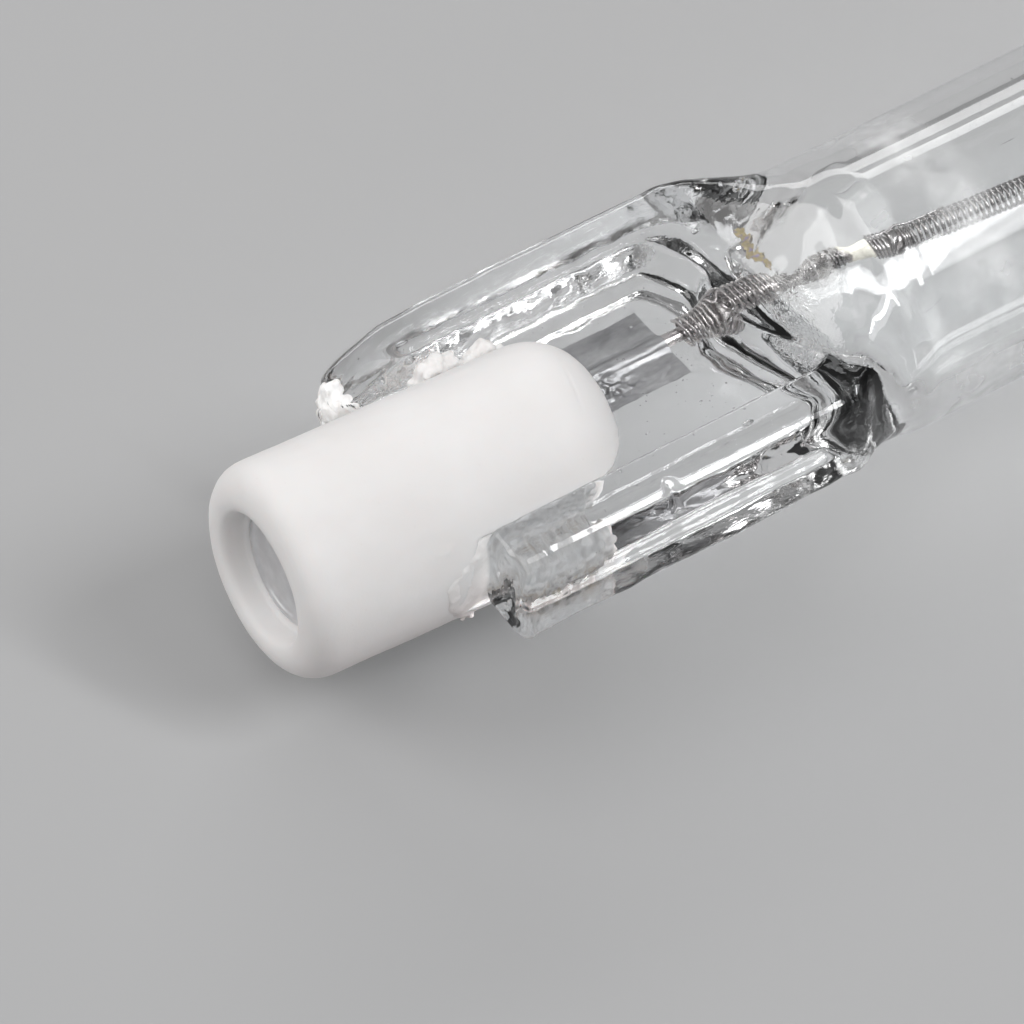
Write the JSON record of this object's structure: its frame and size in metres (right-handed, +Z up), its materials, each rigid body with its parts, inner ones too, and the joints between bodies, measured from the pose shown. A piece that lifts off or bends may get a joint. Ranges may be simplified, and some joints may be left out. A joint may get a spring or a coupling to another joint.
{
  "type": "linear halogen bulb",
  "caption": "Slim clear quartz tube lamp with a long coiled filament, a flat pinch seal and a slotted white ceramic cap with a recessed contact at each end.",
  "frame": {"origin": "on the plane that the tube touches from below, under the middle of its length and the axis of the tube", "axes": "+X along the tube from the end in the picture to the plain end, +Z up, both pinch seals level"},
  "size_m": [0.1167, 0.0118, 0.0111],
  "materials": {
    "quartz": "clear, fire-polished, with fine specks, draw lines and small bubbles",
    "ceramic": "matte white steatite, very slightly warm",
    "cement": "dry crumbly white cement",
    "nickel": "satin grey metal with a brighter rim",
    "molybdenum": "matte grey, rolled",
    "tungsten": "drawn wire, grey with a faint pink and brown heat tint in the seal"
  },
  "bodies": {
    "root": {"quartz_envelope": "quartz", "ceramic_cap_a": "ceramic", "contact_a": "nickel", "cement_a": "cement", "outer_lead_a": "molybdenum", "foil_a": "molybdenum", "inner_lead_a": "molybdenum", "lead_coil_a": "tungsten", "leg_winding_a": "tungsten", "ceramic_cap_b": "ceramic", "contact_b": "nickel", "cement_b": "cement", "outer_lead_b": "molybdenum", "foil_b": "molybdenum", "inner_lead_b": "molybdenum", "lead_coil_b": "tungsten", "leg_winding_b": "tungsten", "filament": "tungsten", "filament_support_1": "tungsten", "filament_support_2": "tungsten", "filament_support_3": "tungsten", "filament_support_4": "tungsten", "filament_support_5": "tungsten"}
  },
  "joints": []
}
